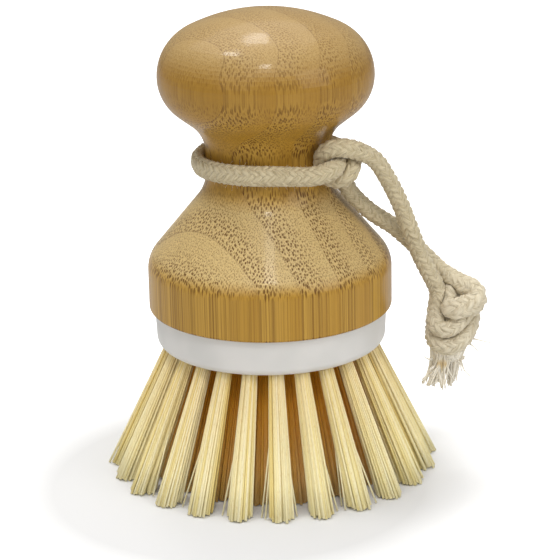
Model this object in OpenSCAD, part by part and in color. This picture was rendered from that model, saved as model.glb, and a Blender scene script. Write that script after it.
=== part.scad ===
// Bamboo cleaning brush: a turned knob handle on a tufted bristle plate,
// with a cotton cord tied round its neck. Millimetres, Z up; the bristle
// tips stand on Z = 0 and the handle's axis is the Z axis.

/* [Handle] */
// Diameter of the skirt, the widest part of the handle
skirt_d = 55; // [50:0.5:64]
// Height from the handle's base to the corner between skirt and shoulder
skirt_h = 11.5; // [8:0.5:20]
// Height of the sloping shoulder, corner to corner
shoulder_h = 16.5; // [12:0.5:26]
// Diameter of the neck at its narrowest
neck_d = 27.5; // [20:0.5:34]
// Height of the neck, corner to corner
neck_h = 12; // [8:0.5:20]
// Height of the slope under the knob, corner to corner
knob_under_h = 8; // [4:0.5:14]
// Diameter of the knob
knob_d = 48; // [40:0.5:60]
// Height of the knob's side, corner to corner
knob_side_h = 12.5; // [6:0.5:24]
// Height from the knob's upper corner to the peak that the crown rounds off
knob_crown_h = 10.5; // [5:0.5:18]
// Radius at the handle's lower edge
base_round = 0.6; // [0.2:0.1:2]
// Radius where the skirt turns into the shoulder
skirt_round = 7; // [2:0.5:12]
// Radius of the hollow where the shoulder meets the neck
neck_low_round = 10; // [3:0.5:16]
// Radius of the hollow where the neck meets the knob
neck_top_round = 9; // [3:0.5:16]
// Radius of the knob's lower side
knob_low_round = 10; // [3:0.5:14]
// Radius of the knob's upper side
knob_top_round = 11.5; // [3:0.5:16]
// Radius of the knob's crown
crown_round = 39; // [15:1:60]

/* [Bristle plate] */
// Diameter of the plate where it meets the handle
plate_d = 52.6; // [50:0.2:60]
// Height of the plate's side
plate_h = 8.5; // [8:0.1:12]
// How much the plate's radius shrinks towards its lower rim
plate_draft = 0.4; // [0:0.1:1]
// Radius of the plate's lower rim
plate_round = 2; // [0.5:0.1:2.5]
// Diameter of the spigot that holds the plate in the handle
spigot_d = 24; // [14:0.5:30]
// Height of the spigot
spigot_h = 6; // [3:0.5:10]
// Clearance round the spigot
spigot_fit = 0.1; // [0.05:0.05:0.3]
// Clearance over the end of the spigot, for the glue
glue_gap = 0.5; // [0.2:0.1:1.5]

/* [Tufts] */
// Height of the bristles that shows below the plate
trim_h = 29.5; // [18:0.5:40]
// Number of tuft rings round the middle tuft
rings = 4; // [3:1:4]
// Tufts added by each ring
ring_step = 6; // [5:1:6]
// Distance from the plate's side to the middle of the outer tufts
rim_margin = 4.5; // [4.3:0.1:6]
// Lean of the outer tufts away from upright, in degrees
fan_angle = 24; // [0:1:30]
// Diameter of the tuft holes
hole_d = 4; // [3:0.1:4.2]
// Depth of the tuft holes along their own axis
hole_depth = 6; // [4:0.1:6.4]
// Clearance round a tuft in its hole
tuft_fit = 0.05; // [0.05:0.05:0.2]
// Diameter of a tuft at its cut end
tuft_tip_d = 5.7; // [4:0.1:6.5]
// Number of bristle ridges round a tuft
tuft_ridges = 8; // [5:1:8]
// Depth of the grooves between the ridges
groove_depth = 0.35; // [0.1:0.05:0.6]
// Turn of the outer ring about the axis, in degrees
ring_turn = 2; // [0:1:15]

/* [Anchors] */
// Thickness of the metal strip that each tuft is folded over
anchor_t = 0.35; // [0.2:0.05:0.6]
// Height of the strip along the hole
anchor_h = 1.2; // [0.8:0.1:1.8]
// How far each end of the strip bites into the plate
anchor_bite = 0.3; // [0.1:0.05:0.4]
// Height of the fold of bristles between the strip and the hole's end
fold_h = 0.9; // [0.6:0.1:1.5]

/* [Cord] */
// Diameter of the cord
cord_d = 4.2; // [3.4:0.1:4.2]
// Share of the cord's thickness that the hitch squeezes out of it
hitch_squeeze = 0.22; // [0.22:0.01:0.35]
// Height of the knot at the cord's end
knot_h = 16.5; // [14:0.5:20]
// Diameter of the knot across its middle
knot_d = 13.4; // [12:0.2:15]
// Length of the frayed ends below the knot
fray_h = 9; // [5:0.5:12]

/* [Hidden] */

bamboo = "#C39A58";
white_plastic = "#D9D6D0";
bristle_straw = "#DCCB94";
anchor_metal = "#B9BCC0";
cotton = "#CFC6AE";

$fn = 96;

// Heights above the ground
plate_z = trim_h;
handle_z = plate_z + plate_h;

// Handle: the corners of its outline as [radius, height, rounding], base first
skirt_top = skirt_h;
neck_low = skirt_top + shoulder_h;
neck_top = neck_low + neck_h;
knob_low = neck_top + knob_under_h;
knob_top = knob_low + knob_side_h;
crown_peak = knob_top + knob_crown_h;
outline_corners = [
    [skirt_d / 2, 0, base_round],
    [skirt_d / 2, skirt_top, skirt_round],
    [neck_d / 2, neck_low, neck_low_round],
    [neck_d / 2, neck_top, neck_top_round],
    [knob_d / 2, knob_low, knob_low_round],
    [knob_d / 2, knob_top, knob_top_round],
];
arc_steps = 14;

// Plate: the same kind of corners, from the lower face outwards
rim_r = plate_d / 2 - plate_draft;

// Tufts
outer_ring_r = plate_d / 2 - rim_margin;
ring_pitch = outer_ring_r / rings;
root_r = hole_d / 2 - tuft_fit;
tip_r = tuft_tip_d / 2;
flare_share = 0.4;
flare_at = 0.55;

// Cord route: [angle from the front towards the right, distance from the
// axis, height, how far it is squeezed from 0 to 1], from the end knot by the
// upper strand to the hitch, round the neck and back by the lower strand
route = [
    [85, 38, 41.5, 0], [84, 37.2, 44.6, 0], [83, 35.6, 47.8, 0], [82, 34, 51, 0],
    [79, 31.8, 56.8, 0], [77, 29.7, 63, 0], [73, 27.6, 68.6, 0], [67, 25.6, 73.5, 0],
    [59, 23.1, 76.4, 0.5], [51.5, 20.7, 77.4, 0.7], [48.5, 18.6, 76.9, 1], [48.5, 16.5, 74.8, 1],
    [52, 15.5, 72, 1], [54, 16.3, 69.6, 1], [55.5, 18.8, 68.6, 1], [56.5, 21.3, 69.3, 1],
    [59.5, 22.2, 71.5, 1], [66.5, 21, 73.1, 0.8], [80, 18.9, 73.2, 0.3], [99, 16.9, 73, 0],
    [123.5, 16.1, 72.8, 0], [150, 16, 72.5, 0], [180, 16, 72.2, 0], [208, 16, 71.9, 0],
    [236, 16, 71.7, 0], [264, 16, 71.6, 0], [292, 16, 71.7, 0], [320, 16, 71.9, 0],
    [344, 16.1, 72, 0], [366, 16.3, 72, 0], [381, 17.5, 71.9, 0], [391.5, 19.2, 72, 0.3],
    [401.5, 19.8, 72.3, 0.8], [410, 19.5, 72.4, 1], [419, 18.4, 72.2, 1], [428, 17.5, 70.8, 1],
    [434.5, 17.5, 68.4, 0.6], [437.5, 18.8, 65.7, 0.1], [441, 20.9, 62.9, 0], [444, 24, 59.8, 0],
    [447, 28, 55.8, 0], [449, 32, 51.8, 0], [451, 35.2, 48.2, 0], [450.5, 38, 46, 0],
    [449.5, 40.8, 44.6, 0], [448, 42.2, 41.5, 0],
];
cord_sides = 8;
rings_per_point = 2;

// End knot and fray
knot_top_z = 41.5;
knot_x = 40;
knot_y = -2.4;
knot_sides = 20;
knot_levels = 12;
knot_neck_r = 5;
fray_neck_r = 4.2;
fray_strands = 11;

// The direction from a to b, as a vector one long
function toward(a, b) = (b - a) / norm(b - a);

// How much an outline turns at corner b, in degrees
function turn_at(a, b, c) = acos(max(-1, min(1, toward(a, b) * toward(b, c))));

// Length that a rounding takes from each of the two edges at corner b
function wanted(a, b, c, r) = r * tan(turn_at(a, b, c) / 2);

// The same length, cut down where two roundings would meet on one edge
function shared(mine, other, edge) = mine + other <= edge ? mine : edge * mine / (mine + other);

// Arc that rounds corner b with the tangent length t
function corner_arc(a, b, c, t) =
    let (turn = turn_at(a, b, c), r = t / tan(turn / 2),
         side = sign((b[0] - a[0]) * (c[1] - b[1]) - (b[1] - a[1]) * (c[0] - b[0])),
         start = b + t * toward(b, a), along = toward(a, b),
         centre = start + r * side * [-along[1], along[0]])
    [for (i = [0:arc_steps])
        let (w = side * turn * i / arc_steps, v = start - centre)
        centre + [v[0] * cos(w) - v[1] * sin(w), v[0] * sin(w) + v[1] * cos(w)]];

// Corners [x, y, rounding] between two plain end points, joined by tangent arcs
function rounded_path(first, corners, last) =
    let (p = concat([first], [for (k = corners) [k[0], k[1]]], [last]), n = len(corners),
         want = concat([0], [for (i = [1:n]) wanted(p[i - 1], p[i], p[i + 1], corners[i - 1][2])], [0]))
    [for (i = [1:n])
        let (t = min(shared(want[i], want[i - 1], norm(p[i] - p[i - 1])),
                     shared(want[i], want[i + 1], norm(p[i + 1] - p[i]))))
        each corner_arc(p[i - 1], p[i], p[i + 1], t)];

// Outline of the crown: the arc over the axis that joins both flanks of the peak
function crown_half_angle() = atan2(knob_crown_h, knob_d / 2);
function crown_tangent() =
    min(crown_round * tan(crown_half_angle()), 0.7 * norm([knob_d / 2, knob_crown_h]));
function crown_arc() =
    let (h = crown_half_angle(), t = crown_tangent(), r = t / tan(h),
         centre_z = crown_peak - r / cos(h))
    [for (i = [0:arc_steps]) let (w = h * (1 - i / arc_steps)) [r * sin(w), centre_z + r * cos(w)]];

// The turned handle, with the blind recess for the plate's spigot
module handle() {
    recess_r = spigot_d / 2 + spigot_fit;
    recess_h = spigot_h + glue_gap;
    crown = crown_arc();
    color(bamboo) translate([0, 0, handle_z]) rotate_extrude()
        polygon(concat([[0, recess_h], [recess_r, recess_h], [recess_r, 0]],
                       rounded_path([recess_r, 0], outline_corners, crown[0]), crown));
}

// Puts what follows into the frame of a tuft hole: the origin on the plate's
// lower face, -Z out of the hole along the tuft
module at_hole(ring, index) {
    rotate([0, 0, hole_azimuth(ring, index)]) translate([ring * ring_pitch, 0, plate_z])
        rotate([0, -lean(ring), 0]) children();
}

// Lean of a ring's tufts; it grows evenly from the middle outwards
function lean(ring) = fan_angle * ring / rings;

// Tufts in a ring
function ring_count(ring) = max(1, ring * ring_step);

// Azimuth of one tuft, with every second ring turned by half a space
function hole_azimuth(ring, index) =
    -90 + ring_turn + (index + (rings - ring) % 2 / 2) * 360 / ring_count(ring);

// One strip across a tuft, where it is folded
module anchor_strip() {
    translate([-anchor_t / 2, -hole_d / 2 - anchor_bite, hole_depth - fold_h - anchor_h])
        cube([anchor_t, hole_d + 2 * anchor_bite, anchor_h]);
}

// The moulded plate: draughted disc with a rounded rim and a spigot on top,
// drilled for every tuft and notched where the anchors bite
module bristle_plate() {
    side = rounded_path([0, plate_z], [[rim_r, plate_z, plate_round]], [plate_d / 2, handle_z]);
    color(white_plastic) difference() {
        rotate_extrude()
            polygon(concat([[0, plate_z]], side, [[plate_d / 2, handle_z], [spigot_d / 2, handle_z],
                            [spigot_d / 2, handle_z + spigot_h], [0, handle_z + spigot_h]]));
        for (ring = [0:rings], i = [0:ring_count(ring) - 1]) at_hole(ring, i) {
            translate([0, 0, -hole_d]) cylinder(d = hole_d, h = hole_depth + hole_d, $fn = 32);
            anchor_strip();
        }
    }
}

// Radius of a tuft at the share s of its free length: it flares, faster near the plate
function flare(s) = root_r + (tip_r - root_r) * (s <= flare_at
    ? s / flare_at * (1 - flare_share) : 1 - flare_share + flare_share * (s - flare_at) / (1 - flare_at));

// One ring of points on the ridges and grooves of a tuft of radius r
function ridge_ring(r, z) = [for (i = [0:2 * tuft_ridges - 1])
    let (a = i * 180 / tuft_ridges, q = r - (i % 2) * groove_depth) [q * cos(a), q * sin(a), z]];

// One tuft: ridged, seated on the end of its hole, flaring towards the ground
// and cut off level there, with a slot where it is folded over its anchor
module tuft(tilt) {
    n = 2 * tuft_ridges;
    free = plate_z / cos(tilt);
    tip = [for (p = ridge_ring(tip_r, 0)) [p[0], p[1], -(p[0] * sin(tilt) + plate_z) / cos(tilt)]];
    points = concat(ridge_ring(root_r, hole_depth), ridge_ring(root_r, 0),
                    ridge_ring(flare(flare_at), -free * flare_at), tip);
    faces = concat([[for (i = [0:n - 1]) i]],
        [for (k = [0:2], i = [0:n - 1], half = [0, 1])
            let (a = k * n + i, b = k * n + (i + 1) % n)
            half == 0 ? [a, a + n, b] : [b, a + n, b + n]],
        [[for (i = [0:n - 1]) 4 * n - 1 - i]]);
    difference() {
        polyhedron(points, faces);
        anchor_strip();
    }
}

// All the tufts of one ring
module tuft_ring(ring) {
    color(bristle_straw) for (i = [0:ring_count(ring) - 1]) at_hole(ring, i) tuft(lean(ring));
}

module outer_tufts() { tuft_ring(rings); }
module second_tufts() { tuft_ring(rings - 1); }
module third_tufts() { tuft_ring(rings - 2); }
module inner_tufts() { tuft_ring(1); }
module middle_tuft() { tuft_ring(0); }

// The strips that hold all the tufts
module tuft_anchors() {
    color(anchor_metal) for (ring = [0:rings], i = [0:ring_count(ring) - 1])
        at_hole(ring, i) anchor_strip();
}

// A route point in space, and how far it is squeezed
function place(q) = [q[1] * sin(q[0]), -q[1] * cos(q[0]), q[2], q[3]];

// Smooth curve through the points p, k steps to each stretch
function smooth(p, k) = let (n = len(p)) concat([for (i = [0:n - 2], j = [0:k - 1])
    let (a = p[max(i - 1, 0)], b = p[i], c = p[i + 1], d = p[min(i + 2, n - 1)], t = j / k)
    b + (c - a) * t / 2 + (2 * a - 5 * b + 4 * c - d) * t * t / 2
      + (3 * b - a - 3 * c + d) * t * t * t / 2], [p[n - 1]]);

// Direction of the path p at point i; both ends stand square on the knot
function heading(p, i) = i == 0 ? [0, 0, 1] : i == len(p) - 1 ? [0, 0, -1]
    : toward(p[i - 1], p[i + 1]);

// Sideways directions along the path, each turned as little as possible from the last
function sideways(p, i, last) = i == len(p) ? [] :
    let (t = heading(p, i), s = last - (last * t) * t, u = s / norm(s))
    concat([u], sideways(p, i + 1, u));

// A closed tube along the path p, with a diameter for each of its points
module tube(p, d, sides) {
    u = sideways(p, 0, [1, 0.2, 0]);
    n = len(p);
    points = [for (i = [0:n - 1], j = [0:sides - 1])
        let (a = j * 360 / sides) p[i] + d[i] / 2 * (cos(a) * u[i] + sin(a) * cross(heading(p, i), u[i]))];
    faces = concat([[for (j = [0:sides - 1]) j]],
        [for (i = [0:n - 2], j = [0:sides - 1], half = [0, 1])
            let (a = i * sides + j, b = i * sides + (j + 1) % sides)
            half == 0 ? [a, a + sides, b] : [b, a + sides, b + sides]],
        [[for (j = [0:sides - 1]) n * sides - 1 - j]]);
    polyhedron(points, faces);
}

// The one length of cord, from the knot up, round the neck and back
module hanging_cord() {
    stations = smooth([for (q = route) place(q)], rings_per_point);
    color(cotton) tube([for (s = stations) [s[0], s[1], s[2]]],
                       [for (s = stations) cord_d * (1 - hitch_squeeze * max(0, min(1, s[3])))],
                       cord_sides);
}

// A closed solid from rings of points, listed from the top down, with each
// end closed by a fan round a point of its own
module stacked(rings_of_points, top, bottom) {
    n = len(rings_of_points[0]);
    m = len(rings_of_points);
    faces = concat([for (i = [0:n - 1]) [m * n, (i + 1) % n, i]],
        [for (k = [0:m - 2], i = [0:n - 1], half = [0, 1])
            let (a = k * n + i, b = k * n + (i + 1) % n)
            half == 0 ? [a, b, a + n] : [b, b + n, a + n]],
        [for (i = [0:n - 1]) [m * n + 1, (m - 1) * n + i, (m - 1) * n + (i + 1) % n]]);
    polyhedron(concat([for (ring = rings_of_points) each ring], [top, bottom]), faces);
}

// Radius of the knot at the share s of its height and the angle a: a barrel
// with two strands wound slantwise round it
function knot_r(s, a) =
    let (end_r = knot_neck_r + (fray_neck_r - knot_neck_r) * s, swell = sin(180 * s))
    end_r + (knot_d / 2 - end_r) * swell + 0.5 * swell * cos(2 * a + 400 * s);

// The overhand knot that both ends are tied in
module end_knot() {
    color(cotton) translate([knot_x, knot_y, knot_top_z]) stacked([for (k = [0:knot_levels])
        let (s = k / knot_levels) [for (i = [0:knot_sides - 1])
            let (a = i * 360 / knot_sides) [knot_r(s, a) * cos(a), knot_r(s, a) * sin(a), -knot_h * s]]],
        [0, 0, 0], [0, 0, -knot_h]);
}

// The frayed ends: strands side by side, long and short in turn
module frayed_ends() {
    n = 2 * fray_strands;
    spread = [1, 0.95, 0.9];
    color(cotton) translate([knot_x, knot_y, knot_top_z - knot_h]) stacked([for (k = [0:2])
        [for (i = [0:n - 1])
            let (a = i * 360 / n, r = fray_neck_r * spread[k] * (1 - 0.12 * k * (i % 2)),
                 long = 0.8 + 0.2 * cos(3 * a))
            [r * cos(a), r * sin(a), -fray_h * k / 2 * (k == 2 ? long - 0.2 * (i % 2) : 0.8)]]],
        [0, 0, 0], [0, 0, -0.85 * fray_h]);
}

handle();
bristle_plate();
outer_tufts();
second_tufts();
third_tufts();
inner_tufts();
middle_tuft();
tuft_anchors();
hanging_cord();
end_knot();
frayed_ends();
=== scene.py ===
"""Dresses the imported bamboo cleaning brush: lacquered bamboo, bristles and braided cotton cord.

Everything is in metres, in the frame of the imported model: Z is up along the handle's axis, the
bristle tips stand on Z = 0, and the photograph's viewer stands towards -Y.
"""

import logging
import math
from dataclasses import dataclass, field
from enum import Enum

import bpy
import numpy as np
from mathutils import Matrix, Vector


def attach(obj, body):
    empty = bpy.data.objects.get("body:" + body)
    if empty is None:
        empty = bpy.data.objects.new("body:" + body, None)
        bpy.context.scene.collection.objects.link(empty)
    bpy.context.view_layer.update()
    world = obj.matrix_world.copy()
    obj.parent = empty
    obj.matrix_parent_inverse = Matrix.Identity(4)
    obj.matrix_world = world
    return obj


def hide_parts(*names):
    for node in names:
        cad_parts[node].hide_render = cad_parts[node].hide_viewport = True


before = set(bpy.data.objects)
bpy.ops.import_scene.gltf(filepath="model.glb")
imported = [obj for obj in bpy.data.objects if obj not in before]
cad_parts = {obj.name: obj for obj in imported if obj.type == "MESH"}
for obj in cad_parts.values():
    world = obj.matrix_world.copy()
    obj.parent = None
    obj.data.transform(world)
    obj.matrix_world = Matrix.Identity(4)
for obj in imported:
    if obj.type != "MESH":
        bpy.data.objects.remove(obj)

LOG = logging.getLogger("brush")
MM = 0.001
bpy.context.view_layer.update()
WHITE = (1.0, 1.0, 1.0, 1.0)
GOLDEN_TURN = math.pi * (3 - math.sqrt(5))
EASED = {"interpolation_type": "SMOOTHSTEP"}
Tree = bpy.types.NodeTree
Socket = bpy.types.NodeSocket
Colour = tuple[float, float, float, float]


def linear(hex_code: str) -> Colour:
    """Turns an sRGB colour into linear light.

    Args:
        hex_code: The colour as "#RRGGBB".

    Returns:
        Red, green and blue from 0 to 1, and 1 for a solid colour. A channel c becomes c / 12.92
        up to 0.04045 and ((c + 0.055) / 1.055) to the power 2.4 above it.
    """
    channels = (int(hex_code[i : i + 2], 16) / 255 for i in (1, 3, 5))
    red, green, blue = (c / 12.92 if c <= 0.04045 else ((c + 0.055) / 1.055) ** 2.4 for c in channels)
    return red, green, blue, 1.0


def add_node(
    tree: Tree,
    kind: str,
    *values: object,
    sockets: dict[str | int, object] | None = None,
    output: str | int = 0,
    **settings: object,
) -> Socket | None:
    """Adds one node to a tree, with its settings and its links.

    Args:
        tree: The node tree.
        kind: Blender's name of the node, without the "ShaderNode" that it starts with.
        values: What goes into its first inputs, in order: a value, or the output to link to it.
        sockets: The same for other inputs, by name or number.
        output: The output wanted, by name or number.
        settings: Properties of the node, by name.

    Returns:
        The output, or None from a node that has none.
    """
    node = tree.nodes.new("ShaderNode" + kind)
    for name, value in settings.items():
        setattr(node, name, value)
    for key, value in [*enumerate(values), *(sockets or {}).items()]:
        if isinstance(value, Socket):
            tree.links.new(value, node.inputs[key])
        else:
            node.inputs[key].default_value = value
    return node.outputs[output] if node.outputs else None


def new_material(name: str) -> tuple[bpy.types.Material, Tree]:
    """Makes an empty node material.

    Args:
        name: The material's name.

    Returns:
        The material and its node tree, with no nodes in it.
    """
    material = bpy.data.materials.new(name)
    material.use_nodes = True
    material.node_tree.nodes.clear()
    return material, material.node_tree


@dataclass
class Studio:
    """Camera, floor, lamps and world of the photograph.

    The camera is given by its height above the horizon, its distance from the point that it looks
    at, and the focal length in pixels of the square image. The floor's glow goes from the first to
    the second strength between the two distances from the shadow's centre. A lamp has a centre and
    a side in metres, and a power in watts.
    """

    elevation_deg: float = 18.39
    distance: float = 0.5
    aim_right: float = 0.00222
    aim_height: float = 0.04324
    focal_px: float = 2207.6
    image_px: float = 560.0
    sensor_mm: float = 36.0
    roll_deg: float = 1.178
    floor_reach: float = 4.0
    floor_white: float = 0.72
    shadow_centre: tuple[float, float, float] = (-0.008, -0.014, 0.0)
    shadow_ends: tuple[float, float] = (0.042, 0.072)
    glow: tuple[float, float] = (0.03, 0.75)
    world_light: float = 0.3
    look_at: tuple[float, float, float] = (0.0, 0.0, 0.05)
    lamps: dict[str, tuple[tuple[float, float, float], float, float]] = field(default_factory=lambda: {
        "overhead_lamp": ((-0.1, 0.3, 0.9), 1.0, 3.9),
        "back_spot_lamp": ((-0.06, 0.52, 0.94), 0.16, 0.9),
        "left_spot_lamp": ((-0.36, 0.09, 1.03), 0.18, 2.4),
        "high_front_lamp": ((0.06, -0.53, 0.9), 0.8, 2.0),
        "key_lamp": ((0.0, -0.565, 0.89), 0.15, 1.6),
        "front_lamp": ((-0.55, -0.85, 0.5), 0.7, 1.5),
        "side_lamp": ((0.75, -0.55, 0.45), 0.6, 2.8),
    })

    def place_camera(self) -> None:
        """Puts the camera where the photograph was taken from, turned clockwise by the roll."""
        rise, roll = math.radians(self.elevation_deg), math.radians(self.roll_deg)
        height = self.aim_height + self.distance * math.sin(rise)
        place = Vector((0.0, -self.distance * math.cos(rise), height))
        forward = (Vector((self.aim_right, 0.0, self.aim_height)) - place).normalized()
        level = forward.cross(Vector((0, 0, 1))).normalized()
        up = level.cross(forward) * math.cos(roll) + level * math.sin(roll)
        right = forward.cross(up)
        data = bpy.data.cameras.new("camera")
        data.sensor_width = self.sensor_mm
        data.lens = self.focal_px / self.image_px * self.sensor_mm
        data.clip_start, data.clip_end = 0.01, 50
        camera = bpy.data.objects.new("camera", data)
        bpy.context.scene.collection.objects.link(camera)
        turned = Matrix((right, up, -forward)).transposed().to_4x4()
        camera.matrix_world = Matrix.Translation(place) @ turned
        bpy.context.scene.camera = camera

    def lay_floor(self) -> None:
        """Lays a white floor that keeps the brush's shadow.

        Its glow grows with the distance from the shadow's centre, so that only the shadow at the
        brush's foot is left in view. The glow is for the camera alone and lights nothing.
        """
        mesh = bpy.data.meshes.new("floor")
        side = self.floor_reach
        corners = [(-side, -side, 0), (side, -side, 0), (side, side, 0), (-side, side, 0)]
        mesh.from_pydata(corners, [], [(0, 1, 2, 3)])
        floor = bpy.data.objects.new("floor", mesh)
        bpy.context.scene.collection.objects.link(floor)
        material, tree = new_material("white_floor")
        seen = add_node(tree, "LightPath", output="Is Camera Ray")
        place = add_node(tree, "TexCoord", output="Object")
        away = add_node(tree, "VectorMath", place, self.shadow_centre, output="Value", operation="DISTANCE")
        level = add_node(tree, "MapRange", away, *self.shadow_ends, *self.glow)
        shine = add_node(tree, "Emission", WHITE, add_node(tree, "Math", seen, level, operation="MULTIPLY"))
        paint = add_node(tree, "BsdfDiffuse", (*[self.floor_white] * 3, 1.0))
        add_node(tree, "OutputMaterial", add_node(tree, "AddShader", paint, shine))
        mesh.materials.append(material)

    def light_world(self) -> None:
        """Lights the scene evenly and shows a white background to the camera."""
        world = bpy.data.worlds.new("studio")
        bpy.context.scene.world = world
        world.use_nodes = True
        tree = world.node_tree
        tree.nodes.clear()
        rays = add_node(tree, "LightPath").node.outputs
        seen = add_node(tree, "Math", rays["Is Camera Ray"], rays["Is Transmission Ray"], operation="MAXIMUM")
        strength = add_node(tree, "MapRange", seen, 0.0, 1.0, self.world_light, 1.0)
        add_node(tree, "OutputWorld", add_node(tree, "Background", WHITE, strength))

    def hang_lamp(self, name: str, place: tuple[float, float, float], side: float, power: float) -> None:
        """Hangs one square soft lamp that faces the brush.

        Args:
            name: The lamp's name.
            place: Its centre.
            side: Its side length.
            power: Its power in watts.
        """
        data = bpy.data.lights.new(name, "AREA")
        data.shape, data.size, data.energy = "SQUARE", side, power
        lamp = bpy.data.objects.new(name, data)
        bpy.context.scene.collection.objects.link(lamp)
        lamp.location = place
        lamp.rotation_mode = "QUATERNION"
        lamp.rotation_quaternion = (Vector(self.look_at) - Vector(place)).to_track_quat("-Z", "Y")

    def build(self) -> None:
        """Makes the camera, the floor, the world and the lamps."""
        self.place_camera()
        self.lay_floor()
        self.light_world()
        for name, (place, side, power) in self.lamps.items():
            self.hang_lamp(name, place, side, power)
        bpy.context.scene.view_settings.view_transform = "Standard"


def millimetres(tree: Tree) -> Socket:
    """Gives the object coordinates in millimetres."""
    place = add_node(tree, "TexCoord", output="Object")
    return add_node(tree, "VectorMath", place, sockets={"Scale": 1 / MM}, operation="SCALE")


def stretched_noise(
    tree: Tree, place: Socket, sizes: tuple[float, float, float], detail: float = 2.0, roughness: float = 0.5
) -> Socket:
    """Draws noise whose marks have a size of their own along each axis.

    Args:
        tree: The node tree.
        place: The place.
        sizes: The size of the marks along x, y and z, in the unit of the place.
        detail: The noise's detail.
        roughness: How strong its finer detail is.

    Returns:
        The noise, about 0.5 in the mean.
    """
    scaled = add_node(tree, "VectorMath", place, tuple(1 / size for size in sizes), operation="MULTIPLY")
    given = {"Vector": scaled, "Scale": 1.0, "Detail": detail, "Roughness": roughness}
    return add_node(tree, "TexNoise", sockets=given, output="Fac")


def finish_surface(
    tree: Tree,
    colour: Socket | Colour,
    layers: list[tuple[Socket, Colour]],
    height: Socket,
    bump_mm: float,
    inputs: dict[str, object],
) -> None:
    """Ends a material in one Principled shader, with its layers of colour and its bump.

    Args:
        tree: The node tree.
        colour: The lowest colour.
        layers: What lies over it, in order: how much shows, from 0 to 1, and its colour. A share s
            of colour d over colour c gives c (1 - s) + d s.
        height: The bump's height, from 0 to 1.
        bump_mm: The depth that a height of 1 stands for.
        inputs: The shader's other inputs.
    """
    for share, over in layers:
        colour = add_node(tree, "Mix", share, sockets={6: colour, 7: over}, output=2, data_type="RGBA")
    bump = add_node(tree, "Bump", sockets={"Strength": 1.0, "Distance": bump_mm * MM, "Height": height})
    shader = add_node(tree, "BsdfPrincipled", sockets={"Base Color": colour, "Normal": bump, **inputs})
    add_node(tree, "OutputMaterial", shader)


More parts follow.
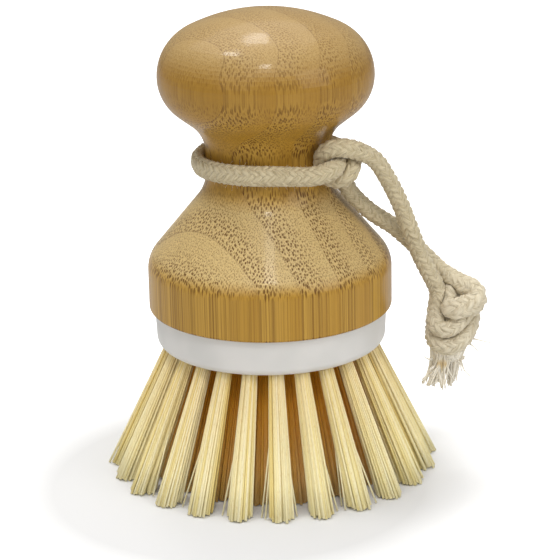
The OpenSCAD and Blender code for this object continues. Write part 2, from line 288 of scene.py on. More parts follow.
@dataclass(frozen=True)
class LacqueredBamboo:
    """Laminated bamboo, turned, sanded and lacquered.

    The wood is glued from boards that stand upright. Its fibre bundles run up the handle, so they
    show as dots on the slopes and as streaks on the upright sides. Each board is dense with dark
    bundles at one face and thins out to plain wood at the other. A clear satin lacquer over it
    gives soft, broad highlights.
    """

    ground: str = "#C0963F"
    plain: str = "#B48830"
    # Pale colour of the faces that look up: cut fibre ends, with painted light and sheen from above.
    end_grain_and_top_light: str = "#DAC38D"
    fibre: str = "#8E6626"
    bundle: str = "#57300A"
    board_mm: float = 8.9
    board_turn_deg: float = 41.0
    first_joint_mm: float = 3.6
    neck_bow_mm: float = 1.6
    crown_bow_mm: float = -6.0
    edge_bow_mm: float = -1.6
    bundle_step_mm: float = 0.62
    bundle_mm: float = 0.38
    fine_step_mm: float = 0.41
    fine_mm: float = 0.22
    thread_mm: float = 0.28
    band_mm: float = 1.5
    bump_mm: float = 0.06

    def dots(self, tree: Tree, plan: Socket, step: float, width: Socket | float) -> tuple[Socket, Socket]:
        """Draws one bundle in each cell of the plan, endless along the height.

        Args:
            tree: The node tree.
            plan: The place in the plan, in millimetres.
            step: The mean spacing of the bundles in millimetres.
            width: The width of a bundle in millimetres.

        Returns:
            The darkness, 1 within half the width of the cell's own point and 0 outside it with an
            edge a sixth of a cell wide, and a number from 0 to 1 that each bundle has to itself.
        """
        given = {"Vector": plan, "Scale": 1.0 / step, "Randomness": 0.7}
        cells = add_node(tree, "TexVoronoi", sockets=given, voronoi_dimensions="2D", feature="F1")
        cells = cells.node.outputs
        half = add_node(tree, "Math", width, 0.5 / step, operation="MULTIPLY")
        inside = add_node(tree, "Math", half, cells["Distance"], operation="SUBTRACT")
        own = add_node(tree, "SeparateColor", cells["Color"])
        return add_node(tree, "MapRange", inside, -0.08, 0.08, **EASED), own

    def boards(self, tree: Tree, turned: Socket) -> tuple[Socket, Socket, Socket]:
        """Cuts the wood into upright boards.

        Args:
            tree: The node tree.
            turned: The place in millimetres, with x across the boards.

        Returns:
            How deep the place lies in its board, from 0 to 1, a number from 0 to 1 that each board
            has to itself, and the place moved so that no board repeats its neighbour.
        """
        axes = add_node(tree, "SeparateXYZ", turned).node.outputs
        # The glue lines bow by a few millimetres between the shoulder and the crown.
        neck = add_node(tree, "MapRange", axes["Z"], 64.0, 84.0, 0.0, self.neck_bow_mm, **EASED)
        crown = add_node(tree, "MapRange", axes["Z"], 94.0, 105.0, 0.0, self.crown_bow_mm, **EASED)
        edge = add_node(tree, "MapRange", axes["X"], -20.0, -14.0, self.edge_bow_mm, 0.0, **EASED)
        bow = add_node(tree, "Math", neck, crown, operation="ADD")
        bow = add_node(tree, "Math", bow, edge, operation="ADD")
        across = add_node(tree, "Math", axes["X"], bow, operation="ADD")
        across = add_node(tree, "Math", across, self.first_joint_mm, operation="ADD")
        boards = add_node(tree, "Math", across, self.board_mm, operation="DIVIDE")
        board = add_node(tree, "Math", boards, operation="FLOOR")
        depth = add_node(tree, "Math", boards, operation="FRACT")
        tint = add_node(tree, "TexWhiteNoise", sockets={"W": board}, output="Value", noise_dimensions="1D")
        shift = [add_node(tree, "Math", board, step, operation="MULTIPLY") for step in (13.7, 7.3)]
        offset = add_node(tree, "CombineXYZ", *shift)
        return depth, tint, add_node(tree, "VectorMath", turned, offset, operation="ADD")

    def build(self) -> bpy.types.Material:
        """Makes the material.

        Returns:
            The material: solid bamboo in object coordinates under a satin lacquer.
        """
        material, tree = new_material("lacquered_bamboo")
        turn = (0, 0, -math.radians(self.board_turn_deg))
        turned = add_node(tree, "Mapping", sockets={"Vector": millimetres(tree), "Rotation": turn})
        depth, tint, wood = self.boards(tree, turned)
        height = add_node(tree, "SeparateXYZ", turned, output="Z")
        slope = add_node(tree, "SeparateXYZ", add_node(tree, "TexCoord", output="Normal"), output="Z")

        # Dense behind each glue line, gone before the next, with an uneven front.
        ragged = stretched_noise(tree, wood, (5.0, 5.0, 60.0))
        front = add_node(tree, "Math", depth, 0.175, operation="SUBTRACT")
        front = add_node(tree, "Math", ragged, 0.35, front, operation="MULTIPLY_ADD")
        dense = add_node(tree, "MapRange", front, 0.3, 0.95, 1.0, 0.0, **EASED)
        gain, least = self.bundle_mm * 0.4, self.bundle_mm * 0.6
        width = add_node(tree, "Math", dense, gain, least, operation="MULTIPLY_ADD")
        coarse, own = self.dots(tree, wood, self.bundle_step_mm, width)
        fine, fine_own = self.dots(tree, wood, self.fine_step_mm, self.fine_mm)

        # The knob is sanded finer, so that its bundles stand out less. On the upright sides they
        # lie under the surface and show as fainter lines.
        worn = add_node(tree, "MapRange", height, 82.0, 93.0, 1.0, 0.55, **EASED)
        steep = add_node(tree, "Math", slope, operation="ABSOLUTE")
        open_end = add_node(tree, "MapRange", steep, 0.0, 0.3, 0.55, 1.0, **EASED)
        shown = add_node(tree, "Math", worn, open_end, operation="MULTIPLY")
        strength = add_node(tree, "Math", own, 0.35, 0.62, operation="MULTIPLY_ADD")
        crowded = add_node(tree, "Math", dense, 0.7, 0.22, operation="MULTIPLY_ADD")
        strength = add_node(tree, "Math", strength, crowded, operation="MULTIPLY")
        dark = add_node(tree, "Math", coarse, strength, operation="MULTIPLY")
        dark = add_node(tree, "Math", dark, shown, operation="MULTIPLY")
        speck = add_node(tree, "Math", fine_own, 0.45, 0.15, operation="MULTIPLY_ADD")
        speck = add_node(tree, "Math", fine, speck, operation="MULTIPLY")
        speck = add_node(tree, "Math", speck, shown, operation="MULTIPLY")

        threads = stretched_noise(tree, wood, (self.thread_mm, self.thread_mm, 30.0), 3.0)
        bands = stretched_noise(tree, wood, (self.band_mm, self.band_mm, 90.0), 1.0)
        # Where the surface slopes it cuts across the fibres and is paler than the upright sides; the
        # paler colour on the faces that look up also paints the light and sheen from above. The knob
        # is darker than the foot. The glue line itself is thin and dark.
        layers = [
            (add_node(tree, "Math", dense, 0.8, 0.1, operation="MULTIPLY_ADD"), self.ground),
            (add_node(tree, "MapRange", bands, 0.4, 0.75, 0.0, 0.25, **EASED), self.fibre),
            (add_node(tree, "MapRange", slope, 0.15, 0.75, 0.0, 0.78, **EASED), self.end_grain_and_top_light),
            (add_node(tree, "Math", tint, 0.14, operation="MULTIPLY"), self.fibre),
            (add_node(tree, "MapRange", height, 80.0, 94.0, 0.0, 0.5, **EASED), self.fibre),
            (add_node(tree, "MapRange", threads, 0.45, 0.72, 0.0, 0.4, **EASED), self.fibre),
            (speck, self.bundle),
            (add_node(tree, "MapRange", depth, 0.0, 0.03, 0.3, 0.0, **EASED), self.bundle),
            (dark, self.bundle),
        ]
        raised = add_node(tree, "Math", threads, 0.3, operation="MULTIPLY")
        sunk = add_node(tree, "Math", dark, 0.7, operation="MULTIPLY")
        relief = add_node(tree, "Math", raised, sunk, operation="SUBTRACT")
        # The open ends of the bundles soak the lacquer up and hardly shine.
        marks = add_node(tree, "Math", dark, speck, operation="MAXIMUM")
        finish_surface(tree, linear(self.plain), [(share, linear(over)) for share, over in layers], relief,
                       self.bump_mm, {
            "Roughness": add_node(tree, "Math", threads, 0.14, 0.38, operation="MULTIPLY_ADD"),
            "IOR": 1.45, "Specular IOR Level": 0.2,
            "Coat Weight": add_node(tree, "Math", marks, -0.35, 0.35, operation="MULTIPLY_ADD"),
            "Coat Roughness": 0.13, "Coat IOR": 1.42,
        })
        return material


@dataclass(frozen=True)
class MouldedPolypropylene:
    """White polypropylene, injection moulded with a fine satin texture that blurs its shine."""

    white: str = "#DDDAD5"
    cool: str = "#D5D3CE"
    flow_mm: float = 11.1
    grit_mm: float = 0.5
    bump_mm: float = 0.012

    def build(self) -> bpy.types.Material:
        """Makes the material.

        Returns:
            The material: an even white with faint flow marks and a fine moulded texture.
        """
        material, tree = new_material("moulded_polypropylene")
        place = millimetres(tree)
        flow = stretched_noise(tree, place, (self.flow_mm,) * 3)
        grit = stretched_noise(tree, place, (self.grit_mm,) * 3)
        cooler = add_node(tree, "MapRange", flow, 0.3, 0.7, **EASED)
        finish_surface(tree, linear(self.white), [(cooler, linear(self.cool))], grit, self.bump_mm, {
            "Roughness": add_node(tree, "Math", grit, 0.1, 0.36, operation="MULTIPLY_ADD"), "IOR": 1.49,
            "Subsurface Weight": 0.12, "Subsurface Scale": 0.002, "Subsurface Radius": (1.0, 0.9, 0.8),
        })
        return material


@dataclass(frozen=True)
class PlantFibre:
    """Dried plant fibre: straw-coloured bristles, with amber painted where they stand in the shade."""

    pale: str = "#FAF1C8"
    straw: str = "#F0E09C"
    honey: str = "#D4B04E"
    # The amber of the painted shade deep in the tufts.
    shade_amber: str = "#DE980E"
    mark_mm: float = 0.4
    mark_long_mm: float = 4.0
    bump_mm: float = 0.01

    def build(self) -> bpy.types.Material:
        """Makes the material.

        Returns:
            The material: each bristle has its own tone, and the inner rings and the outer roots get deep
                amber as painted shade.
        """
        material, tree = new_material("plant_fibre")
        # The depth attribute carries painted shade, shown by the amber layer below.
        tone, depth = (add_node(tree, "Attribute", output="Fac", attribute_name=name)
                       for name in ("tone", "depth"))
        marks = stretched_noise(tree, millimetres(tree), (self.mark_mm, self.mark_mm, self.mark_long_mm))
        ramp = add_node(tree, "ValToRGB", tone)
        stops = ramp.node.color_ramp.elements
        stops[0].color, stops[1].color = linear(self.pale), linear(self.honey)
        stops.new(0.5).color = linear(self.straw)
        marked = add_node(tree, "MapRange", marks, 0.5, 0.75, 0.0, 0.25, **EASED)
        layers = [(marked, linear(self.honey)), (depth, linear(self.shade_amber))]
        finish_surface(tree, ramp, layers, marks, self.bump_mm,
                       {"Roughness": 0.5, "IOR": 1.53, "Specular IOR Level": 0.25})
        return material


@dataclass(frozen=True)
class BraidedCotton:
    """Undyed cotton, plied in soft yarns that show their twist and scatter light like felt."""

    cream: str = "#D2C4A2"
    shade: str = "#9C8A62"
    fleck: str = "#85704A"
    bloom: str = "#FFF8E8"
    husk: str = "#E6CE9C"
    ply_mm: float = 0.28
    lint_mm: float = 2.0
    bump_mm: float = 0.12

    def build(self) -> bpy.types.Material:
        """Makes the material.

        Returns:
            The material: fine slanted plies along each yarn, with painted shade in the creases between
            them, and a soft bloom of loose fibre where it is worn.
        """
        material, tree = new_material("braided_cotton")
        tone, wear, husk = (add_node(tree, "Attribute", output="Fac", attribute_name=name)
                            for name in ("tone", "wear", "husk"))
        yarn = add_node(tree, "UVMap", uv_map="yarn")
        plies = stretched_noise(tree, yarn, (1 / 0.6, self.ply_mm, 1.0), 3.0, 0.65)
        lint = stretched_noise(tree, millimetres(tree), (self.lint_mm,) * 3, 3.0)
        # The dark streaks along the plies are painted shade in the creases between them.
        streak = add_node(tree, "MapRange", plies, 0.4, 0.7, 0.0, 0.75, **EASED)
        streak_kept = add_node(tree, "Math", wear, -0.75, 1.0, operation="MULTIPLY_ADD")
        spots = add_node(tree, "MapRange", lint, 0.58, 0.8, 0.0, 0.4, **EASED)
        spots_kept = add_node(tree, "Math", wear, -0.7, 1.0, operation="MULTIPLY_ADD")
        layers = [
            (wear, linear(self.bloom)),
            (add_node(tree, "Math", streak, streak_kept, operation="MULTIPLY"), linear(self.shade)),
            (add_node(tree, "Math", spots, spots_kept, operation="MULTIPLY"), linear(self.fleck)),
            # The tone darkens the braid's core as painted shade.
            (tone, linear(self.fleck)),
            (husk, linear(self.husk)),
        ]
        finish_surface(tree, linear(self.cream), layers, plies, self.bump_mm,
                       {"Roughness": 0.85, "IOR": 1.5, "Sheen Weight": 0.25, "Sheen Roughness": 0.5})
        return material


@dataclass(frozen=True)
class RolledSteel:
    """Bright steel strip, rolled and cut, as tuft anchors are made of."""

    grey: str = "#B4B6B8"
    rolling_mm: float = 0.15
    line_mm: float = 3.33
    bump_mm: float = 0.005

    def build(self) -> bpy.types.Material:
        """Makes the material.

        Returns:
            The material: a bright metal with fine rolling lines along the strip's height.
        """
        material, tree = new_material("rolled_steel")
        lines = stretched_noise(tree, millimetres(tree), (self.line_mm, self.line_mm, self.rolling_mm))
        rough = add_node(tree, "Math", lines, 0.2, 0.2, operation="MULTIPLY_ADD")
        finish_surface(tree, linear(self.grey), [], lines, self.bump_mm,
                       {"Metallic": 1.0, "Roughness": rough})
        return material


def add_piece(
    name: str,
    points: np.ndarray,
    faces: list[np.ndarray],
    material: bpy.types.Material,
    values: dict[str, np.ndarray] | None = None,
    uv: np.ndarray | None = None,
) -> bpy.types.Object:
    """Makes one piece of the brush from arrays.

    Args:
        name: The piece's name.
        points: Vertices, n by 3, in metres.
        faces: Arrays of vertex numbers, one array for each number of corners.
        material: Its material.
        values: One number per vertex under each attribute name.
        uv: A texture place per vertex, n by 2, for the map "yarn".

    Returns:
        The object, smooth shaded, at the origin.
    """
    mesh = bpy.data.meshes.new(name)
    loops = np.concatenate([f.ravel() for f in faces]).astype(np.int32)
    sizes = np.concatenate([np.full(len(f), f.shape[1]) for f in faces]).astype(np.int32)
    mesh.vertices.add(len(points))
    mesh.vertices.foreach_set("co", points.astype(np.float32).ravel())
    mesh.loops.add(len(loops))
    mesh.loops.foreach_set("vertex_index", loops)
    mesh.polygons.add(len(sizes))
    mesh.polygons.foreach_set("loop_start", np.concatenate([[0], np.cumsum(sizes)[:-1]]).astype(np.int32))
    mesh.polygons.foreach_set("loop_total", sizes)
    mesh.polygons.foreach_set("use_smooth", np.ones(len(sizes), bool))
    for key, numbers in (values or {}).items():
        column = mesh.attributes.new(key, "FLOAT", "POINT").data
        column.foreach_set("value", numbers.astype(np.float32).ravel())
    if uv is not None:
        mesh.uv_layers.new(name="yarn").data.foreach_set("uv", uv[loops].astype(np.float32).ravel())
    mesh.update(calc_edges=True)
    mesh.validate()
    mesh.materials.append(material)
    piece = bpy.data.objects.new(name, mesh)
    bpy.context.scene.collection.objects.link(piece)
    LOG.info("%s: %d faces", name, len(mesh.polygons))
    return piece


def tube_faces(strands: int, stations: int, sides: int) -> list[np.ndarray]:
    """Numbers the faces of closed tubes whose points are laid out as strand, station, side.

    Args:
        strands: How many tubes.
        stations: Rings of points along each.
        sides: Points in a ring.

    Returns:
        The walls as quads and both ends as one face each, all facing outwards where the sides run
        anticlockwise as seen looking back along the tube.
    """
    number = np.arange(strands * stations * sides).reshape(strands, stations, sides)
    after = np.roll(number, -1, axis=2)
    walls = np.stack([number[:, :-1], after[:, :-1], after[:, 1:], number[:, 1:]], axis=-1).reshape(-1, 4)
    return [walls, number[:, 0, ::-1].reshape(-1, sides), number[:, -1].reshape(-1, sides)]


def ellipse(sides: int, first: np.ndarray, second: np.ndarray) -> np.ndarray:
    """Sets points round an ellipse: at the angle a, first cos a + second sin a.

    Args:
        sides: How many points, at even angles.
        first: The half axis at the angle 0, in any number of rows.
        second: The half axis at a quarter turn, in as many rows.

    Returns:
        The points from the middle, with the side as the last index but one.
    """
    angle = np.arange(sides)[:, None] * 2 * np.pi / sides
    return np.cos(angle) * first[..., None, :] + np.sin(angle) * second[..., None, :]


@dataclass
class BristleTufts:
    """All the tufts, one piece to a ring, each tuft a bundle of separate bristles.

    A stray gives its tuft's number in the outer ring, and x, y and z of its end in millimetres.
    """

    plate_z: float = 0.0295
    rings: int = 4
    ring_step: int = 6
    outer_ring_r: float = 0.0218
    fan_deg: float = 24.0
    ring_turn_deg: float = 2.0
    root_r: float = 0.00158
    tip_r: float = 0.003
    flare_share: float = 0.4
    flare_at: float = 0.55
    inside_hole: float = 0.0045
    bristles: int = 96
    bristle_r: float = 0.00022
    cut_r: float = 0.00033
    sides: int = 5
    stations: int = 6
    bend: float = 0.0002
    uneven_cut: float = 0.0008
    floor_gap: float = 0.00005
    # How deep the painted shade is at the outer ring's roots, how fast it fades along the tuft, and how much
    # of it the inner rings lose towards the cut.
    outer_shade: float = 0.28
    outer_fade: float = 1.5
    inner_light: float = 0.45
    stray_mouth: float = 0.004
    seed: int = 40
    strays: list[tuple[int, float, float, float]] = field(default_factory=lambda: [
        (0, -2.2, -35.4, 0.4), (0, -3.0, -34.2, 0.2), (0, 4.7, -34.2, 0.3), (23, -11.6, -32.8, 0.3),
        (1, 13.6, -31.8, 0.3), (2, 15.4, -31.4, 0.3), (2, 14.6, -29.4, 0.5), (2, 22.3, -27.9, 0.3),
        (22, -20.4, -27.8, 0.4), (4, 32.2, -13.6, 0.3), (7, 30.6, 12.6, 0.4), (10, 18.4, 27.6, 0.4),
        (13, -13.4, 31.0, 0.4), (17, -33.8, 11.2, 0.4), (20, -27.2, -21.8, 0.4),
    ])

    def flare(self, share: np.ndarray) -> np.ndarray:
        """Radius of a tuft at a share of its free length.

        Args:
            share: From 0 at the plate to 1 at the cut.

        Returns:
            Two straight stretches: the radius grows by 60% of its gain up to 55% of the way, and
            by the rest below that.
        """
        gain = np.interp(share, [0, self.flare_at, 1], [0, 1 - self.flare_share, 1])
        return self.root_r + (self.tip_r - self.root_r) * gain

    def azimuths(self, ring: int) -> np.ndarray:
        """Gives the azimuth of each tuft of a ring; every second ring is turned by half a space."""
        tufts = max(1, ring * self.ring_step)
        half = (self.rings - ring) % 2 / 2
        return np.radians(-90 + self.ring_turn_deg + (np.arange(tufts) + half) * 360 / tufts)

    def placed(self, local: np.ndarray, ring: int, azimuth: np.ndarray) -> np.ndarray:
        """Carries points from a hole's own frame to the brush.

        Args:
            local: Points with the hole's axis as z, the first index being the tuft.
            ring: The ring's number.
            azimuth: The azimuth of each tuft.

        Returns:
            The points, leaned outwards by the ring's lean and turned to the azimuth.
        """
        lean = math.radians(self.fan_deg * ring / self.rings)
        turn = azimuth.reshape(-1, *[1] * (local.ndim - 2))
        x, y, z = local[..., 0], local[..., 1], local[..., 2]
        out = x * math.cos(lean) - z * math.sin(lean) + self.outer_ring_r * ring / self.rings
        up = x * math.sin(lean) + z * math.cos(lean) + self.plate_z
        right = out * np.cos(turn) - y * np.sin(turn)
        back = out * np.sin(turn) + y * np.cos(turn)
        return np.stack([right, back, up], -1)

    def section(self) -> np.ndarray:
        """Gives the ring of points round a bristle of radius 1, across the z axis."""
        return ellipse(self.sides, np.array([1.0, 0.0, 0.0]), np.array([0.0, -1.0, 0.0]))

    def ring_points(self, ring: int, rng: np.random.Generator) -> tuple[np.ndarray, np.ndarray]:
        """Works out every bristle of one ring as a tube.

        The roots fill a disc as seeds fill a sunflower: bristle k stands at the radius of the
        square root of (k + 0.5) / n and the angle of k golden turns. Each is a straight line from
        its root to its place in the flared end, with a bend that grows as the square of the way.

        Args:
            ring: The ring's number, 0 for the middle tuft.
            rng: The source of the bristles' small differences.

        Returns:
            The points as bristle, station, side, 3, and the tone of each bristle.
        """
        azimuth = self.azimuths(ring)
        lean = math.radians(self.fan_deg * ring / self.rings)
        tufts = len(azimuth)
        shape = (tufts, self.bristles)
        number = np.arange(self.bristles) + 0.5
        angle = number * GOLDEN_TURN + rng.uniform(0, 2 * np.pi, (tufts, 1)) + rng.normal(0, 0.05, shape)
        reach = np.sqrt(number / self.bristles) * (1 + rng.normal(0, 0.02, shape))
        seat = np.stack([reach * np.cos(angle), reach * np.sin(angle)], -1)
        seat = seat * (1 - self.bristle_r / self.root_r)
        share = np.linspace(0, 1, self.stations)
        bend_way = rng.uniform(0, 2 * np.pi, shape)
        bend = rng.normal(0, self.bend, shape)[..., None] * np.stack([np.cos(bend_way), np.sin(bend_way)], -1)
        width = self.flare(share)[None, None, :, None]
        side = seat[:, :, None, :] * width + bend[:, :, None, :] * share[:, None] ** 2
        cut = np.abs(rng.normal(0, self.uneven_cut / 2, shape)).clip(0, self.uneven_cut) + self.floor_gap
        drop = cut - self.plate_z + (self.bristle_r - side[:, :, -1, 0]) * math.sin(lean)
        down = self.inside_hole + (drop[:, :, None] / math.cos(lean) - self.inside_hole) * share
        centre = np.concatenate([side, down[..., None]], -1)
        # Drawn wider towards the cut, where the real tuft stays full with more and finer bristles.
        taper = self.bristle_r + (self.cut_r - self.bristle_r) * share
        taper = rng.uniform(0.85, 1.12, shape)[..., None] * taper
        local = centre[:, :, :, None, :] + taper[..., None, None] * self.section()
        points = self.placed(local, ring, azimuth)
        tone = rng.beta(1.3, 3.4, shape) * 0.75 + rng.uniform(0, 0.08, (tufts, 1))
        return points.reshape(-1, self.stations, self.sides, 3), tone.reshape(-1)

    def stray_points(self) -> np.ndarray:
        """Works out the bristles that have sprung out of the outer tufts.

        Returns:
            The points as bristle, station, side, 3. At the share s of its way a stray is at
            (1 - s)^2 root + 2 s (1 - s) mouth + s^2 end. The mouth lies on the hole's axis just
            below the plate. The root stands inside the hole, a third of the way out from its axis
            and one golden turn on from the stray before it.
        """
        number = np.array([s[0] for s in self.strays])
        end = np.array([s[1:] for s in self.strays]) * MM
        angle = np.arange(len(number)) * GOLDEN_TURN
        root = np.stack([np.cos(angle), np.sin(angle), np.ones(len(number))], -1)
        root = root * [self.root_r / 3, self.root_r / 3, self.inside_hole]
        mouth = np.broadcast_to([0.0, 0.0, -self.stray_mouth], (len(number), 3))
        azimuth = self.azimuths(self.rings)[number]
        root, mouth = (self.placed(p[:, None, :], self.rings, azimuth) for p in (root, mouth))
        share = np.linspace(0, 1, self.stations)[None, :, None]
        line = (1 - share) ** 2 * root + 2 * share * (1 - share) * mouth + share**2 * end[:, None]
        return line[:, :, None, :] + self.bristle_r * self.section()

    def build(self, material: bpy.types.Material) -> list[bpy.types.Object]:
        """Makes the five rings, each in place of its CAD node.

        Args:
            material: The bristles' material.

        Returns:
            The pieces, from the middle outwards.
        """
        names = ["middle_tuft", "inner_tufts", "third_tufts", "second_tufts", "outer_tufts"]
        share = np.linspace(0, 1, self.stations)
        pieces = []
        for ring, node in enumerate(names):
            points, tone = self.ring_points(ring, np.random.default_rng(self.seed + ring))
            # Painted shade: the inner rings are amber all along, lighter towards the cut, and the outer ring
            # only near the plate.
            shade = 1.0 - self.inner_light * share**2
            if ring == self.rings:
                points = np.concatenate([points, self.stray_points()])
                tone = np.concatenate([tone, np.zeros(len(self.strays))])
                shade = self.outer_shade * (1 - share) ** self.outer_fade
            count = len(points)
            values = {"tone": np.repeat(tone, self.stations * self.sides),
                      "depth": np.tile(np.repeat(shade, self.sides), count)}
            piece = add_piece(node.replace("tuft", "bristle"), points.reshape(-1, 3),
                              tube_faces(count, self.stations, self.sides), material, values)
            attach(piece, "root")
            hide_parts(node)
            pieces.append(piece)
        return pieces


class Lay(Enum):
    """The way a yarn winds round the cord."""

    CLOCKWISE = 1
    ANTICLOCKWISE = -1


def smooth_curve(points: np.ndarray, steps: int) -> np.ndarray:
    """Runs one smooth curve through route points.

    Args:
        points: The route, one point to a row, with any number of columns.
        steps: Points to each stretch between two route points.

    Returns:
        The Catmull-Rom curve: between b and c, with neighbours a and d and t from 0 to 1, it is
        b + (c - a) t / 2 + (2a - 5b + 4c - d) t^2 / 2 + (3b - a - 3c + d) t^3 / 2.
    """
    padded = np.concatenate([points[:1], points, points[-1:]])
    a, b, c, d = (padded[i : len(padded) - 3 + i, None, :] for i in range(4))
    t = (np.arange(steps) / steps)[None, :, None]
    curve = b + (c - a) * t / 2 + (2 * a - 5 * b + 4 * c - d) * t**2 / 2
    curve = curve + (3 * b - a - 3 * c + d) * t**3 / 2
    return np.concatenate([curve.reshape(-1, points.shape[1]), points[-1:]])


def lengths(curve: np.ndarray) -> np.ndarray:
    """Gives the length of a curve up to each of its points."""
    return np.concatenate([[0], np.cumsum(np.linalg.norm(np.diff(curve, axis=0), axis=1))])


def even_steps(curve: np.ndarray, step: float) -> tuple[np.ndarray, np.ndarray]:
    """Spaces the points of a curve evenly.

    Args:
        curve: The curve's points, close together.
        step: The spacing wanted.

    Returns:
        The evenly spaced points and the length up to each.
    """
    length = lengths(curve)
    wanted = np.linspace(0, length[-1], max(3, round(length[-1] / step) + 1))
    return np.stack([np.interp(wanted, length, curve[:, k]) for k in range(3)], -1), wanted


def carried_frames(path: np.ndarray) -> tuple[np.ndarray, np.ndarray, np.ndarray]:
    """Carries a pair of sideways directions along a path, turned as little as possible.

    Args:
        path: Evenly spaced points.

    Returns:
        The direction of travel and the two sideways directions, one of each per point.
    """
    along = np.gradient(path, axis=0)
    along /= np.linalg.norm(along, axis=1, keepdims=True)
    first = np.cross(along[0], (0.3, 0.2, 1.0))
    sideways = [first / np.linalg.norm(first)]
    for heading in along[1:]:
        carried = sideways[-1] - heading * (sideways[-1] @ heading)
        sideways.append(carried / np.linalg.norm(carried))
    side = np.array(sideways)
    return along, side, np.cross(along, side)


def handle_outline(above: float = 0.05) -> tuple[np.ndarray, np.ndarray]:
    """Reads the handle's outline off its CAD node.

    Args:
        above: The height to start from, over the recess in the handle's base.

    Returns:
        Rising heights above the recess, and the handle's radius at each.
    """
    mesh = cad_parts["handle"].data
    points = np.empty(len(mesh.vertices) * 3)
    mesh.vertices.foreach_get("co", points)
    points = points.reshape(-1, 3)
    points = points[points[:, 2] > above]
    heights, index = np.unique(points[:, 2].round(4), return_inverse=True)
    radii = np.zeros(len(heights))
    np.maximum.at(radii, index.ravel(), np.linalg.norm(points[:, :2], axis=1))
    return heights, radii


